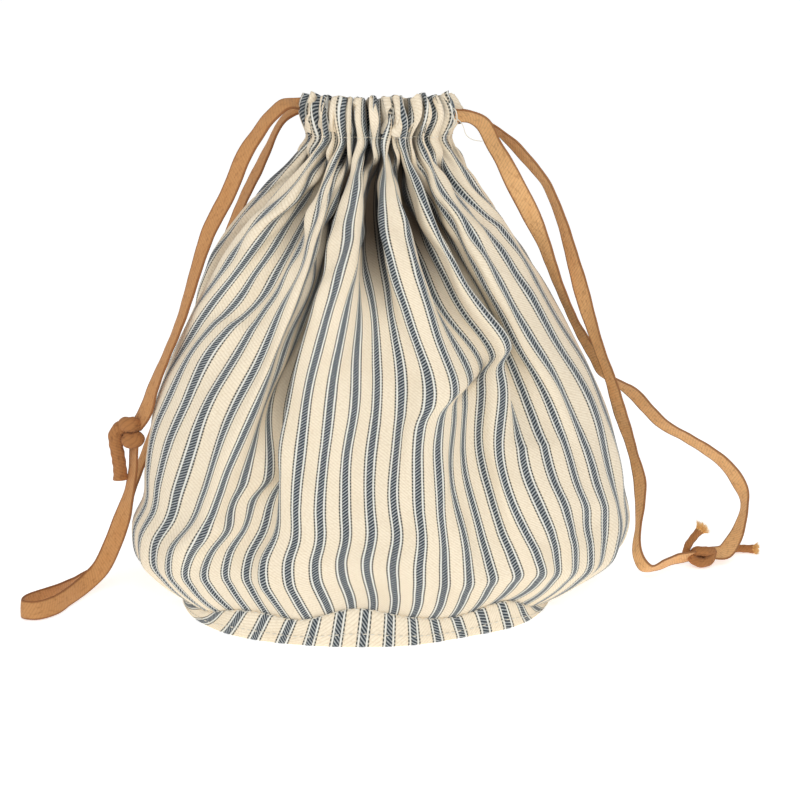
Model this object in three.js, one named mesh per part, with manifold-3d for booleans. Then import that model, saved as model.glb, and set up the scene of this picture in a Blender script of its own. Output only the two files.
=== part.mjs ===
import * as THREE from 'three';
import Module from 'manifold-3d';

// Driving sizes, in millimetres. Z is up, the front of the pouch looks along -Y.
const stripeRepeat = 13.2;   // one wide stripe and the ground beside it
const repeatsRound = 58;     // repeats in the length of cloth around the wall
const clothThick = 1.6;
const casingThick = 2.0;     // the turned-in hem above the stitch line
const casingFrom = 250;      // height of the stitch line
const seamHeight = 15;       // the wall is sewn to the base at this height
const seamGap = 0.35;
const squareness = 2.15;     // exponent of the oval sections, 2 is an ellipse
const steepest = 1.4;        // steepest side of a fold, in radians
const leastDraw = 0.4;       // closest that the cloth between two crests is drawn up
const tapeWide = 10;
const tapeThick = 1.2;
const tapeDrawnIn = 0.7;     // part of its width that a tape has at the slit it comes out of
const drawnInRun = 25;       // length of tape that opens out again
const leftSlit = 264;        // heights in the casing where the tapes come out
const rightSlit = 260;
const pairGap = 2.2;         // ends of the two tapes to the bottom of the hollow they come out of
const pairAside = 1.0;       // each of the two from the middle of the hollow
const knotGap = 0.35;
const backDrop = 5;          // top edge behind, below the top edge in front

// Sections of the wall: half width, depth in front, depth behind, sideways shift of the middle.
const sections = [
  { z: 15, half: 101.5, front: 96, back: 94, shift: -6.5 },
  { z: 20, half: 112, front: 96.5, back: 94.5, shift: -5 },
  { z: 27, half: 124, front: 97, back: 95.3, shift: -3 },
  { z: 35, half: 134, front: 97.8, back: 96, shift: -1.2 },
  { z: 44, half: 136, front: 98, back: 96, shift: -0.3 },
  { z: 56, half: 131.3, front: 97, back: 95.5, shift: 1.3 },
  { z: 72, half: 129.3, front: 95, back: 94, shift: 0.2 },
  { z: 97, half: 124.5, front: 90, back: 90, shift: -1 },
  { z: 123, half: 115, front: 84, back: 84, shift: -2 },
  { z: 147, half: 103, front: 77, back: 77, shift: -3.5 },
  { z: 172, half: 91, front: 70, back: 70, shift: -5 },
  { z: 192, half: 80.3, front: 63, back: 62, shift: -6.3 },
  { z: 208, half: 69.5, front: 55, back: 54, shift: -6.5 },
  { z: 223, half: 56.5, front: 46, back: 45, shift: -4.9 },
  { z: 232, half: 49.2, front: 38.5, back: 37.5, shift: -3.5 },
  { z: 241, half: 42.5, front: 32, back: 31, shift: -2.5 },
  { z: 250, half: 39, front: 28, back: 27, shift: -1.6 },
  { z: 259, half: 41, front: 30, back: 28, shift: -1 },
  { z: 270.5, half: 39.8, front: 28.5, back: 27, shift: -1.5 },
];

// Crests of the folds in front: the stripe repeat they run along, and their turn from the front,
// in degrees, at five heights. The hollow after a crest lies at the given part of its cloth
// and fades out downward at the height it dies.
const crestHeights = { foot: 30, belly: 95, waist: 140, shoulder: 190, neck: 250 };
const frontFolds = [
  { crest: -4.2, foot: -93, belly: -96, waist: -85, shoulder: -64, neck: -45, dies: 165, hollow: 0.55 },
  { crest: 0.8, foot: -53, belly: -41, waist: -34.5, shoulder: -22, neck: -28, dies: 60, hollow: 0.76 },
  { crest: 7.0, foot: -18, belly: -17, waist: -14.5, shoulder: -8.5, neck: -12, dies: 140, hollow: 0.62 },
  { crest: 12.2, foot: 8, belly: 9, waist: 12.5, shoulder: 8.5, neck: 4, dies: 140, hollow: 0.7 },
  { crest: 17.0, foot: 37, belly: 27, waist: 33.5, shoulder: 31, neck: 13, dies: 105, hollow: 0.3 },
  { crest: 21.2, foot: 63, belly: 58, waist: 53, shoulder: 48, neck: 28, dies: 200, hollow: 0.5 },
  { crest: 24.0, foot: 86, belly: 93, waist: 92, shoulder: 86, neck: 60, dies: 170, hollow: 0.5 },
];
// Crests behind share the rest of the round in step with their cloth.
const backFolds = [
  { crest: 27.8, dies: 120, hollow: 0.5 },
  { crest: 31.6, dies: 170, hollow: 0.45 },
  { crest: 35.6, dies: 110, hollow: 0.55 },
  { crest: 39.2, dies: 165, hollow: 0.5 },
  { crest: 43.0, dies: 125, hollow: 0.5 },
  { crest: 46.6, dies: 175, hollow: 0.55 },
  { crest: 49.8, dies: 130, hollow: 0.45 },
];
const columnPhases = [0, 0.07, 0.2, 0.36, 0.5, 0.64, 0.8, 0.93];   // crest 0, hollow 0.5
const rowHeights = [15, 18, 23, 32, 46, 70, 97, 123, 147, 168, 187, 203, 217, 229, 239, 250, 270.5];

// Puckers of the seam: where along the cloth, how far up, how wide in repeats.
const puckers = [
  { at: 1.5, rise: -3.5, spread: 1.5 },
  { at: 6.6, rise: -2.5, spread: 1.2 },
  { at: 9.3, rise: 5.0, spread: 1.7 },
  { at: 14.0, rise: -3.5, spread: 1.8 },
  { at: 16.6, rise: 2.0, spread: 1.2 },
  { at: 18.6, rise: -2.5, spread: 1.2 },
  { at: 22.8, rise: -9.0, spread: 3.0 },
  { at: 33.5, rise: -2.5, spread: 1.5 },
  { at: 39.0, rise: 2.5, spread: 1.5 },
  { at: 45.5, rise: -2.0, spread: 1.8 },
  { at: 49.5, rise: 1.5, spread: 1.4 },
  { at: 54.8, rise: -9.0, spread: 3.2 },
];
// Rolled rim of the base: out from the seam, less where the seam is low, and part of the seam's height.
const rimProfile = [
  { out: 0, up: 1 },
  { out: 1.8, up: 0.9 },
  { out: 2.6, up: 0.6 },
  { out: 2.6, up: 0.26 },
  { out: 1.4, up: 0.05 },
  { out: -1.5, up: 0 },
];

// Routes of the tape from a slit of the casing; turn twists the tape about its own length, in degrees.
const leftFront = [
  { x: -43, y: -4.5, z: 265.5, turn: 45 },
  { x: -50, y: -11, z: 266, turn: 72 },
  { x: -58, y: -15, z: 259.5, turn: 78 },
  { x: -65, y: -16, z: 250, turn: 75 },
  { x: -71, y: -17, z: 241, turn: 66 },
  { x: -79, y: -18, z: 222, turn: 65 },
  { x: -90, y: -19, z: 201, turn: 70 },
  { x: -96, y: -20, z: 185, turn: 80 },
  { x: -100, y: -22, z: 172, turn: 85 },
  { x: -108, y: -24, z: 149, turn: 93 },
  { x: -115, y: -24, z: 133, turn: 93 },
  { x: -120.5, y: -23, z: 120, turn: 85 },
  { x: -126, y: -19, z: 105, turn: 72 },
  { x: -135, y: -14, z: 93, turn: 84 },
];
const leftLoop = [
  { x: -43, y: 5.5, z: 263, turn: 40 },
  { x: -49.5, y: 8, z: 259.5, turn: 55 },
  { x: -55, y: 10, z: 253.5, turn: 55 },
  { x: -60, y: 12.5, z: 243, turn: 50 },
  { x: -66, y: 17, z: 231, turn: 42 },
  { x: -77, y: 27, z: 209, turn: 40 },
  { x: -85, y: 37, z: 189, turn: 30 },
  { x: -95, y: 43, z: 165, turn: 28 },
  { x: -105, y: 44, z: 140, turn: 30 },
  { x: -115.5, y: 43, z: 115, turn: 30 },
  { x: -125, y: 37, z: 90, turn: 32 },
  { x: -135.5, y: 26.5, z: 65, turn: 42 },
  { x: -141.5, y: 18.5, z: 48, turn: 45 },
  { x: -148, y: 13, z: 26, turn: 52 },
  { x: -160, y: 7, z: 10, turn: 65 },
  { x: -169, y: -10, z: 6, turn: 85 },
  { x: -177, y: -27, z: 5.6, turn: 100 },
  { x: -185, y: -38, z: 5.5, turn: 112 },
  { x: -190, y: -47, z: 5.5, turn: 114 },
  { x: -189, y: -55, z: 5.5, turn: 114 },
  { x: -182, y: -57, z: 5.5, turn: 110 },
  { x: -174, y: -50, z: 5.6, turn: 105 },
  { x: -168, y: -37, z: 6.5, turn: 114 },
  { x: -161, y: -22, z: 9, turn: 100 },
  { x: -153.5, y: -17, z: 16, turn: 90 },
  { x: -147, y: -17, z: 29, turn: 78 },
  { x: -141.5, y: -19, z: 43, turn: 68 },
  { x: -137, y: -20, z: 57, turn: 34 },
  { x: -134.3, y: -18, z: 70, turn: 26 },
  { x: -133.5, y: -14, z: 92, turn: 25 },
];
const rightInner = [
  { x: 37, y: -10, z: 260, turn: 25 },
  { x: 46, y: -10, z: 259.5, turn: 48 },
  { x: 53, y: -8, z: 255.5, turn: 45 },
  { x: 58, y: -7, z: 246, turn: 48 },
  { x: 64, y: -6, z: 236, turn: 40 },
  { x: 70, y: -6, z: 224, turn: 15 },
  { x: 77, y: -6, z: 211, turn: 15 },
  { x: 84.5, y: -5, z: 195, turn: 55 },
  { x: 90, y: -4, z: 181, turn: 68 },
  { x: 95.5, y: -2, z: 167, turn: 75 },
  { x: 104, y: 5, z: 149, turn: 75 },
  { x: 110.5, y: 10, z: 137, turn: 65 },
  { x: 117, y: 16, z: 126, turn: 63 },
  { x: 122.5, y: 20, z: 116, turn: 62 },
  { x: 131, y: 26, z: 110, turn: 56 },
  { x: 139, y: 31, z: 104, turn: 46 },
  { x: 149, y: 36, z: 93, turn: 48 },
  { x: 160, y: 41, z: 82, turn: 46 },
  { x: 173, y: 45, z: 74, turn: 48 },
  { x: 185, y: 48, z: 66, turn: 45 },
  { x: 198, y: 51, z: 55, turn: 45 },
  { x: 206, y: 53, z: 43, turn: 45 },
  { x: 209, y: 53, z: 32, turn: 78 },
  { x: 207, y: 51, z: 21, turn: 68 },
  { x: 202, y: 46, z: 12, turn: 40 },
  { x: 196, y: 40, z: 7, turn: 20 },
  { x: 181, y: 36, z: 7, turn: 30 },
];
const rightOuter = [
  { x: 37, y: -5.5, z: 260, turn: 20 },
  { x: 46, y: -1, z: 259, turn: 55 },
  { x: 55, y: 2.5, z: 255, turn: 78 },
  { x: 62.5, y: 3, z: 250, turn: 80 },
  { x: 70, y: 3, z: 243.5, turn: 70 },
  { x: 78.5, y: 2, z: 234, turn: 70 },
  { x: 87, y: 2, z: 223, turn: 76 },
  { x: 93, y: 2, z: 210, turn: 75 },
  { x: 98, y: 2, z: 196, turn: 70 },
  { x: 102.5, y: 0, z: 181, turn: 60 },
  { x: 106.5, y: -3, z: 167, turn: 50 },
  { x: 115, y: -7, z: 140, turn: 70 },
  { x: 123, y: -4, z: 119, turn: 70 },
  { x: 131, y: 5, z: 95, turn: 62 },
  { x: 139, y: 15, z: 73, turn: 75 },
  { x: 143.5, y: 18, z: 56, turn: 65 },
  { x: 144, y: 18, z: 42, turn: 80 },
  { x: 143, y: 17, z: 28, turn: 95 },
  { x: 142.5, y: 13, z: 15, turn: 80 },
  { x: 147, y: 10, z: 7.2, turn: 70 },
  { x: 156, y: 18, z: 6.2, turn: 45 },
  { x: 166, y: 29, z: 6.2, turn: 42 },
  { x: 181, y: 36, z: 6.2, turn: 45 },
];
const leftKnot = { x: -136, y: -14, z: 92, half: 9, deep: 8, tall: 7.5 };
const rightKnot = { x: 182, y: 36, z: 7, half: 8, deep: 7.5, tall: 6.2 };
const leftTail = [
  { x: -140, y: -14, z: 90, turn: 30 },
  { x: -144.2, y: -15.5, z: 82, turn: 40 },
  { x: -144, y: -16.5, z: 74, turn: 50 },
  { x: -142.8, y: -17, z: 66, turn: 45 },
];
const rightTails = [
  [
    { x: 178, y: 37, z: 9, turn: 30 },
    { x: 178.5, y: 38, z: 15, turn: 40 },
    { x: 183, y: 39, z: 23, turn: 40 },
  ],
  [
    { x: 184, y: 38, z: 6.5, turn: 20 },
    { x: 191, y: 52, z: 5.6, turn: 45 },
    { x: 199, y: 61, z: 5.2, turn: 55 },
    { x: 209, y: 62, z: 5.2, turn: 55 },
    { x: 220, y: 60, z: 5.2, turn: 55 },
  ],
];

const clamp = (x, low, high) => Math.min(high, Math.max(low, x));
const mix = (p, q, t) => p + (q - p) * t;
function ease(from, to, x) {
  const t = clamp((x - from) / (to - from), 0, 1);
  return t * t * (3 - 2 * t);
}

// Smooth curve through the rows of a table: cubic pieces with the slope of the neighbours.
function through(knots, values, x) {
  const last = knots.length - 1;
  const slope = (i) => {
    const low = Math.max(i - 1, 0);
    const high = Math.min(i + 1, last);
    return (values[high] - values[low]) / (knots[high] - knots[low]);
  };
  let k = 0;
  while (k < last - 1 && x > knots[k + 1]) k += 1;
  const step = knots[k + 1] - knots[k];
  const t = clamp((x - knots[k]) / step, 0, 1);
  const t2 = t * t;
  const t3 = t2 * t;
  return (2 * t3 - 3 * t2 + 1) * values[k] + (t3 - 2 * t2 + t) * step * slope(k)
    + (3 * t2 - 2 * t3) * values[k + 1] + (t3 - t2) * step * slope(k + 1);
}

const column = (rows, name) => rows.map((row) => row[name]);
const sectionAt = (name, z) => through(column(sections, 'z'), column(sections, name), z);

// All folds in one list, each with its turns at the five heights and the length of cloth after its crest.
const heightNames = Object.keys(crestHeights);
const first = frontFolds[0];
const last = frontFolds[frontFolds.length - 1];
const folds = frontFolds.concat(backFolds.map((fold) => {
  const share = (fold.crest - last.crest) / (first.crest + repeatsRound - last.crest);
  const turns = {};
  heightNames.forEach((name) => { turns[name] = mix(last[name], first[name] + 360, share); });
  return { ...fold, ...turns };
}));
folds.forEach((fold, k) => {
  const next = k + 1 < folds.length ? folds[k + 1].crest : first.crest + repeatsRound;
  fold.cloth = (next - fold.crest) * stripeRepeat;
  fold.repeats = next - fold.crest;
});

// Oval of one height as a table of points and lengths, turn measured from the front to the right.
function ovalTable(z) {
  const half = sectionAt('half', z);
  const front = sectionAt('front', z);
  const back = sectionAt('back', z);
  const power = 2 / squareness;
  const table = [];
  let length = 0;
  for (let degree = -130; degree <= 500; degree += 0.5) {
    const sine = Math.sin(degree * Math.PI / 180);
    const cosine = Math.cos(degree * Math.PI / 180);
    const x = half * Math.sign(sine) * Math.abs(sine) ** power;
    const y = -(cosine >= 0 ? front : back) * Math.sign(cosine) * Math.abs(cosine) ** power;
    if (table.length) length += Math.hypot(x - table.at(-1).x, y - table.at(-1).y);
    table.push({ degree, x, y, length });
  }
  return table;
}

function lookUp(table, key, value) {
  let low = 0;
  let high = table.length - 1;
  while (high - low > 1) {
    const middle = (low + high) >> 1;
    if (table[middle][key] > value) high = middle; else low = middle;
  }
  const t = clamp((value - table[low][key]) / (table[high][key] - table[low][key]), 0, 1);
  const out = {};
  Object.keys(table[low]).forEach((name) => { out[name] = mix(table[low][name], table[high][name], t); });
  return out;
}

// One fold at one height: the cloth leans in and out again, as steeply as its spare length asks for.
// Returns how far along and how deep each column lies.
function foldAcross(fold, chord, z, deepest) {
  const steps = 64;
  const show = 0.25 * ease(15, 48, z) + 0.75 * ease(fold.dies - 25, fold.dies + 45, z);
  const drawn = clamp(1 - (1 - chord / fold.cloth) * show, leastDraw, 1);
  const phaseAt = (s) => (s < fold.hollow ? s / (2 * fold.hollow) : 0.5 + (s - fold.hollow) / (2 * (1 - fold.hollow)));
  const leanAt = (s, gain) => clamp(-gain * Math.sin(2 * Math.PI * phaseAt(s)), -steepest, steepest);
  const meanAlong = (gain) => {
    let sum = 0;
    for (let i = 0; i < steps; i += 1) sum += Math.cos(leanAt((i + 0.5) / steps, gain));
    return sum / steps;
  };
  let low = 0;
  let high = 3.2;
  for (let i = 0; i < 24; i += 1) {
    const gain = (low + high) / 2;
    if (meanAlong(gain) > drawn) low = gain; else high = gain;
  }
  const along = [0];
  const deep = [0];
  for (let i = 0; i < steps; i += 1) {
    const lean = leanAt((i + 0.5) / steps, low);
    along.push(along[i] + Math.cos(lean) / steps);
    deep.push(deep[i] + Math.sin(lean) * fold.cloth / steps);
  }
  const closed = deep.map((d, i) => d - deep[steps] * i / steps);
  const most = Math.max(1e-6, -Math.min(...closed));
  const ease2 = deepest * Math.tanh(most / deepest) / most;
  return columnPhases.map((phase) => {
    const s = phase < 0.5 ? 2 * fold.hollow * phase : fold.hollow + (phase - 0.5) * 2 * (1 - fold.hollow);
    const i = Math.min(steps - 1, Math.floor(s * steps));
    const t = s * steps - i;
    return {
      repeat: fold.crest + s * fold.repeats,
      along: mix(along[i], along[i + 1], t) / along[steps] * chord,
      deep: mix(closed[i], closed[i + 1], t) * ease2,
    };
  });
}

const seamRise = (repeat) => puckers.reduce((sum, pucker) => {
  const away = Math.abs((repeat - pucker.at + repeatsRound * 1.5) % repeatsRound - repeatsRound / 2);
  return sum + pucker.rise * Math.exp(-((away / pucker.spread) ** 2));
}, 0);

// One row of the wall: each column on the oval, moved in by the depth of its fold.
function wallRow(z) {
  const table = ovalTable(z);
  const heights = heightNames.map((name) => crestHeights[name]);
  const level = clamp(z, heights[0], heights[heights.length - 1]);
  const turns = folds.map((fold) => through(heights, heightNames.map((name) => fold[name]), level));
  turns.push(turns[0] + 360);
  const starts = turns.map((turn) => lookUp(table, 'degree', turn).length);
  const deepest = sectionAt('front', z) * mix(0.5, 0.34, ease(210, 245, z));
  const shift = sectionAt('shift', z);
  const points = [];
  folds.forEach((fold, k) => {
    foldAcross(fold, starts[k + 1] - starts[k], z, deepest).forEach((spot) => {
      const length = starts[k] + spot.along;
      const here = lookUp(table, 'length', length);
      const before = lookUp(table, 'length', length - 1);
      const after = lookUp(table, 'length', length + 1);
      const run = Math.hypot(after.x - before.x, after.y - before.y);
      const outX = (after.y - before.y) / run;
      const outY = -(after.x - before.x) / run;
      const rise = seamRise(spot.repeat) * (1 - ease(seamHeight, 60, z));
      const y = here.y + outY * spot.deep;
      const drop = backDrop * ease(casingFrom, rowHeights.at(-1), z) * ease(-5, 20, y);
      points.push(new THREE.Vector3(here.x + outX * spot.deep + shift, y, z + rise - drop));
    });
  });
  return points;
}

// Outward direction at each point of a grid of closed rows that runs upward.
function gridNormals(grid) {
  return grid.map((row, j) => row.map((_, i) => {
    const n = row.length;
    const sideways = row[(i + 1) % n].clone().sub(row[(i + n - 1) % n]);
    const upper = grid[Math.min(j + 1, grid.length - 1)][i];
    const lower = grid[Math.max(j - 1, 0)][i];
    return sideways.cross(upper.clone().sub(lower)).normalize();
  }));
}

function solidFrom(vertices, faces) {
  const geometry = new THREE.BufferGeometry();
  geometry.setAttribute('position', new THREE.Float32BufferAttribute(vertices.flatMap((p) => [p.x, p.y, p.z]), 3));
  geometry.setIndex(faces.flat());
  return geometry;
}

// Closed sheet from a grid of rows: outer face, inner face and the two edges, or a middle point below.
function sheetGeometry(grid, inner, closedBelow) {
  const rows = grid.length;
  const n = grid[0].length;
  const vertices = grid.flat().concat(inner.flat());
  const outerAt = (j, i) => j * n + i % n;
  const innerAt = (j, i) => rows * n + j * n + i % n;
  const faces = [];
  const quad = (a, b, c, d) => faces.push([a, b, c], [a, c, d]);
  for (let i = 0; i < n; i += 1) {
    for (let j = 0; j < rows - 1; j += 1) {
      quad(outerAt(j, i), outerAt(j, i + 1), outerAt(j + 1, i + 1), outerAt(j + 1, i));
      quad(innerAt(j, i + 1), innerAt(j, i), innerAt(j + 1, i), innerAt(j + 1, i + 1));
    }
    quad(outerAt(rows - 1, i), outerAt(rows - 1, i + 1), innerAt(rows - 1, i + 1), innerAt(rows - 1, i));
    if (!closedBelow) quad(outerAt(0, i + 1), outerAt(0, i), innerAt(0, i), innerAt(0, i + 1));
  }
  if (closedBelow) {
    [grid[0], inner[0]].forEach((ring, side) => {
      const middle = ring.reduce((sum, p) => sum.add(p), new THREE.Vector3()).divideScalar(n);
      const at = vertices.push(middle) - 1;
      for (let i = 0; i < n; i += 1) {
        if (side === 0) faces.push([at, outerAt(0, i + 1), outerAt(0, i)]);
        else faces.push([at, innerAt(0, i), innerAt(0, i + 1)]);
      }
    });
  }
  return solidFrom(vertices, faces);
}

// Flat tape along a route: its width is carried along without extra twist, then turned as listed.
function tapeGeometry(route, startAcross, drawnIn) {
  const steps = (route.length - 1) * 2;
  const path = new THREE.CatmullRomCurve3(route.map((p) => new THREE.Vector3(p.x, p.y, p.z)), false, 'centripetal');
  let gone = 0;
  let previous = null;
  let across = startAcross.clone();
  let before = null;
  const vertices = [];
  for (let i = 0; i <= steps; i += 1) {
    const t = i / steps;
    const ahead = path.getTangent(t);
    if (before) across.applyQuaternion(new THREE.Quaternion().setFromUnitVectors(before, ahead));
    across.addScaledVector(ahead, -across.dot(ahead)).normalize();
    before = ahead.clone();
    const k = Math.min(route.length - 2, Math.floor(t * (route.length - 1)));
    const turn = mix(route[k].turn, route[k + 1].turn, t * (route.length - 1) - k) * Math.PI / 180;
    const middle = path.getPoint(t);
    if (previous) gone += middle.distanceTo(previous);
    previous = middle;
    const opened = mix(drawnIn, 1, ease(0, drawnInRun, gone));
    const wide = across.clone().applyAxisAngle(ahead, turn).multiplyScalar(opened * tapeWide / 2);
    const thick = ahead.clone().cross(wide).normalize().multiplyScalar(tapeThick / 2);
    [[1, 1], [1, -1], [-1, -1], [-1, 1]].forEach(([w, h]) => {
      vertices.push(middle.clone().addScaledVector(wide, w).addScaledVector(thick, h));
    });
  }
  const faces = [];
  const quad = (a, b, c, d) => faces.push([a, b, c], [a, c, d]);
  for (let i = 0; i < steps; i += 1) {
    for (let side = 0; side < 4; side += 1) {
      const a = i * 4 + side;
      const b = i * 4 + (side + 1) % 4;
      quad(b, a, a + 4, b + 4);
    }
  }
  const end = steps * 4;
  quad(0, 1, 2, 3);
  quad(end + 3, end + 2, end + 1, end);
  return solidFrom(vertices, faces);
}

// Rounded lump with the slanting swells of a pulled knot.
function knotGeometry(knot, extra) {
  const around = 18;
  const up = 9;
  const vertices = [];
  const faces = [];
  const place = (az, el) => {
    const swell = 1 + 0.1 * Math.cos(2 * az + 3 * el) * Math.cos(el) + 0.06 * Math.cos(3 * az - 2 * el) * Math.cos(el);
    return new THREE.Vector3(
      knot.x + (knot.half + extra) * swell * Math.cos(el) * Math.cos(az),
      knot.y + (knot.deep + extra) * swell * Math.cos(el) * Math.sin(az),
      knot.z + (knot.tall + extra) * Math.sin(el),
    );
  };
  for (let j = 1; j < up; j += 1) {
    for (let i = 0; i < around; i += 1) {
      vertices.push(place(i / around * 2 * Math.PI, (j / up - 0.5) * Math.PI));
    }
  }
  const bottom = vertices.push(place(0, -Math.PI / 2)) - 1;
  const top = vertices.push(place(0, Math.PI / 2)) - 1;
  for (let i = 0; i < around; i += 1) {
    const next = (i + 1) % around;
    for (let j = 0; j < up - 2; j += 1) {
      const a = j * around + i;
      const b = j * around + next;
      faces.push([a, b, b + around], [a, b + around, a + around]);
    }
    faces.push([bottom, next, i], [top, (up - 2) * around + i, (up - 2) * around + next]);
  }
  return solidFrom(vertices, faces);
}

const wasm = await Module();
wasm.setup();
function toManifold(geometry) {
  return wasm.Manifold.ofMesh(new wasm.Mesh({
    numProp: 3,
    vertProperties: Float32Array.from(geometry.attributes.position.array),
    triVerts: Uint32Array.from(geometry.index.array),
  }));
}
function fromManifold(solid) {
  const mesh = solid.getMesh();
  const geometry = new THREE.BufferGeometry();
  geometry.setAttribute('position', new THREE.Float32BufferAttribute(mesh.vertProperties, 3));
  geometry.setIndex(Array.from(mesh.triVerts));
  return geometry;
}

const group = new THREE.Group();
function addPiece(name, geometry, color, roughness) {
  geometry.computeVertexNormals();
  const material = new THREE.MeshStandardMaterial({ color, roughness, metalness: 0 });
  const mesh = new THREE.Mesh(geometry, material);
  mesh.name = name;
  group.add(mesh);
}

const wallGrid = rowHeights.map(wallRow);
const wallNormals = gridNormals(wallGrid);
const wallInner = wallGrid.map((row, j) => row.map((p, i) => {
  const thick = mix(clothThick, casingThick, ease(casingFrom - 15, casingFrom, rowHeights[j]));
  return p.clone().addScaledVector(wallNormals[j][i], -thick);
}));
addPiece('wall_panel', sheetGeometry(wallGrid, wallInner, false), '#d8ceb9', 0.92);

// The rim leaves the seam just under the wall's edge, rolls out and under, and meets the flat round.
const seam = wallGrid[0];
const baseGrid = rimProfile.slice().reverse().map((step) => seam.map((p, i) => {
  const n = seam.length;
  const along = seam[(i + 1) % n].clone().sub(seam[(i + n - 1) % n]);
  const out = new THREE.Vector3(along.y, -along.x, 0).normalize();
  const rise = (p.z - seamGap) * step.up;
  const reach = step.out * Math.min(1, p.z / seamHeight);
  return new THREE.Vector3(p.x + out.x * reach, p.y + out.y * reach, rise);
}));
const baseNormals = gridNormals(baseGrid);
const baseInner = baseGrid.map((row, j) => row.map((p, i) => {
  if (j === 0) return new THREE.Vector3(p.x, p.y, clothThick);
  return p.clone().addScaledVector(baseNormals[j][i], -clothThick);
}));
addPiece('base_panel', sheetGeometry(baseGrid, baseInner, true), '#dccfb6', 0.92);

// A tape leaves the casing from the hollow after the named crest.
function fromSlit(crest, height, aside, route) {
  const below = rowHeights.findLastIndex((z) => z <= height);
  const part = (height - rowHeights[below]) / (rowHeights[below + 1] - rowHeights[below]);
  const row = wallGrid[below].map((p, i) => p.clone().lerp(wallGrid[below + 1][i], part));
  const at = folds.findIndex((fold) => fold.crest === crest) * columnPhases.length + columnPhases.indexOf(0.5);
  const along = row[at + 1].clone().sub(row[at - 1]).normalize();
  const out = new THREE.Vector3(along.y, -along.x, 0);
  const start = row[at].clone().addScaledVector(out, pairGap).addScaledVector(along, aside);
  const next = start.clone().addScaledVector(out, 5);
  return [start, next].map((p) => ({ x: p.x, y: p.y, z: p.z, turn: 0 })).concat(route);
}
const upward = new THREE.Vector3(0, 0, 1);
const clearOf = (geometry, knot) => fromManifold(toManifold(geometry).subtract(toManifold(knotGeometry(knot, knotGap))));
const tapes = [
  { name: 'tape_left_front', route: fromSlit(46.6, leftSlit, pairAside, leftFront), knot: leftKnot },
  { name: 'tape_left_loop', route: fromSlit(46.6, leftSlit, -pairAside, leftLoop), knot: leftKnot },
  { name: 'tape_right_inner', route: fromSlit(24.0, rightSlit, -pairAside, rightInner), knot: rightKnot },
  { name: 'tape_right_outer', route: fromSlit(24.0, rightSlit, pairAside, rightOuter), knot: rightKnot },
];
tapes.forEach((tape) => {
  const pieces = toManifold(clearOf(tapeGeometry(tape.route, upward, tapeDrawnIn), tape.knot)).decompose();
  const longest = pieces.reduce((p, q) => (q.volume() > p.volume() ? q : p));
  addPiece(tape.name, fromManifold(longest), '#cfa06c', 0.85);
});

const withTails = (knot, tails) => tails.reduce(
  (solid, tail) => solid.add(toManifold(tapeGeometry(tail, new THREE.Vector3(1, 0, 0), 1))),
  toManifold(knotGeometry(knot, 0)),
);
addPiece('knot_left', fromManifold(withTails(leftKnot, [leftTail])), '#bd7f4f', 0.85);
addPiece('knot_right', fromManifold(withTails(rightKnot, rightTails)), '#bd7f4f', 0.85);

export default group;
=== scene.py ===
import bpy
import bmesh
import numpy as np
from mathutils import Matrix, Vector


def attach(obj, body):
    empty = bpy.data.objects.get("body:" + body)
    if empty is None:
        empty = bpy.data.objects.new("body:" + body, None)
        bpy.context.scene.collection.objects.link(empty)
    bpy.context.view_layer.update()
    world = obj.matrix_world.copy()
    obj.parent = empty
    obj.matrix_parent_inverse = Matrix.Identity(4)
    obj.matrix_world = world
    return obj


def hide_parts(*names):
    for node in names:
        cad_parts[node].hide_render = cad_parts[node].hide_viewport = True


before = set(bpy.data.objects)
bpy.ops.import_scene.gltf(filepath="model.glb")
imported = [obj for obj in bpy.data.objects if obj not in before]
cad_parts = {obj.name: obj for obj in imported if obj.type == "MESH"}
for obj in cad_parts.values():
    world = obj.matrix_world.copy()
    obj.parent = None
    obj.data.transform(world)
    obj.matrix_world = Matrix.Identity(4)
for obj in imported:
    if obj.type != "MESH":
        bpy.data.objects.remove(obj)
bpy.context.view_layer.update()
mm = 0.001
weldGap = 0.000002
print("frame loaded")

# the camera of the photograph, in millimetres
cameraSet = dict(place=(9.5, -1000.0, 335.0), aim=(9.5, 0.0, 106.0), lens=85.0, sensor=36.0)


# looks from its place to its aim
def makeCamera(s):
    data = bpy.data.cameras.new("camera")
    data.lens = s["lens"]
    data.sensor_width = s["sensor"]
    obj = bpy.data.objects.new("camera", data)
    place = Vector(s["place"]) * mm
    obj.location = place
    obj.rotation_euler = (Vector(s["aim"]) * mm - place).to_track_quat("-Z", "Y").to_euler()
    bpy.context.collection.objects.link(obj)
    bpy.context.scene.camera = obj


makeCamera(cameraSet)
print("camera placed")


# smooth step from 0 at low to 1 at high
def ease(low, high, x):
    t = np.clip((x - low) / (high - low), 0, 1)
    return t * t * (3 - 2 * t)


# cubic pieces through the rows of a table, each with the slope of its neighbours
def throughTable(knots, values, x):
    slope = np.gradient(values, knots, axis=0)
    k = np.clip(np.searchsorted(knots, x) - 1, 0, len(knots) - 2)
    step = (knots[k + 1] - knots[k])[:, None]
    t = np.clip((x - knots[k]) / (knots[k + 1] - knots[k]), 0, 1)[:, None]
    rise = t * t * (3 - 2 * t)
    bend = (t ** 3 - 2 * t * t + t) * step * slope[k] + (t ** 3 - t * t) * step * slope[k + 1]
    return values[k] + (values[k + 1] - values[k]) * rise + bend


# each vector divided by its own length
def unit(v):
    return v / np.maximum(np.linalg.norm(v, axis=-1, keepdims=True), 1e-9)


# running total of steps, from 0
def addedUp(steps):
    return np.concatenate([[0], np.cumsum(steps)])


# map of a grid: one value for each column, one for each row
def mapGrid(columns, rows):
    return np.stack(np.broadcast_arrays(columns[None, :], rows[:, None]), -1)


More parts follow.
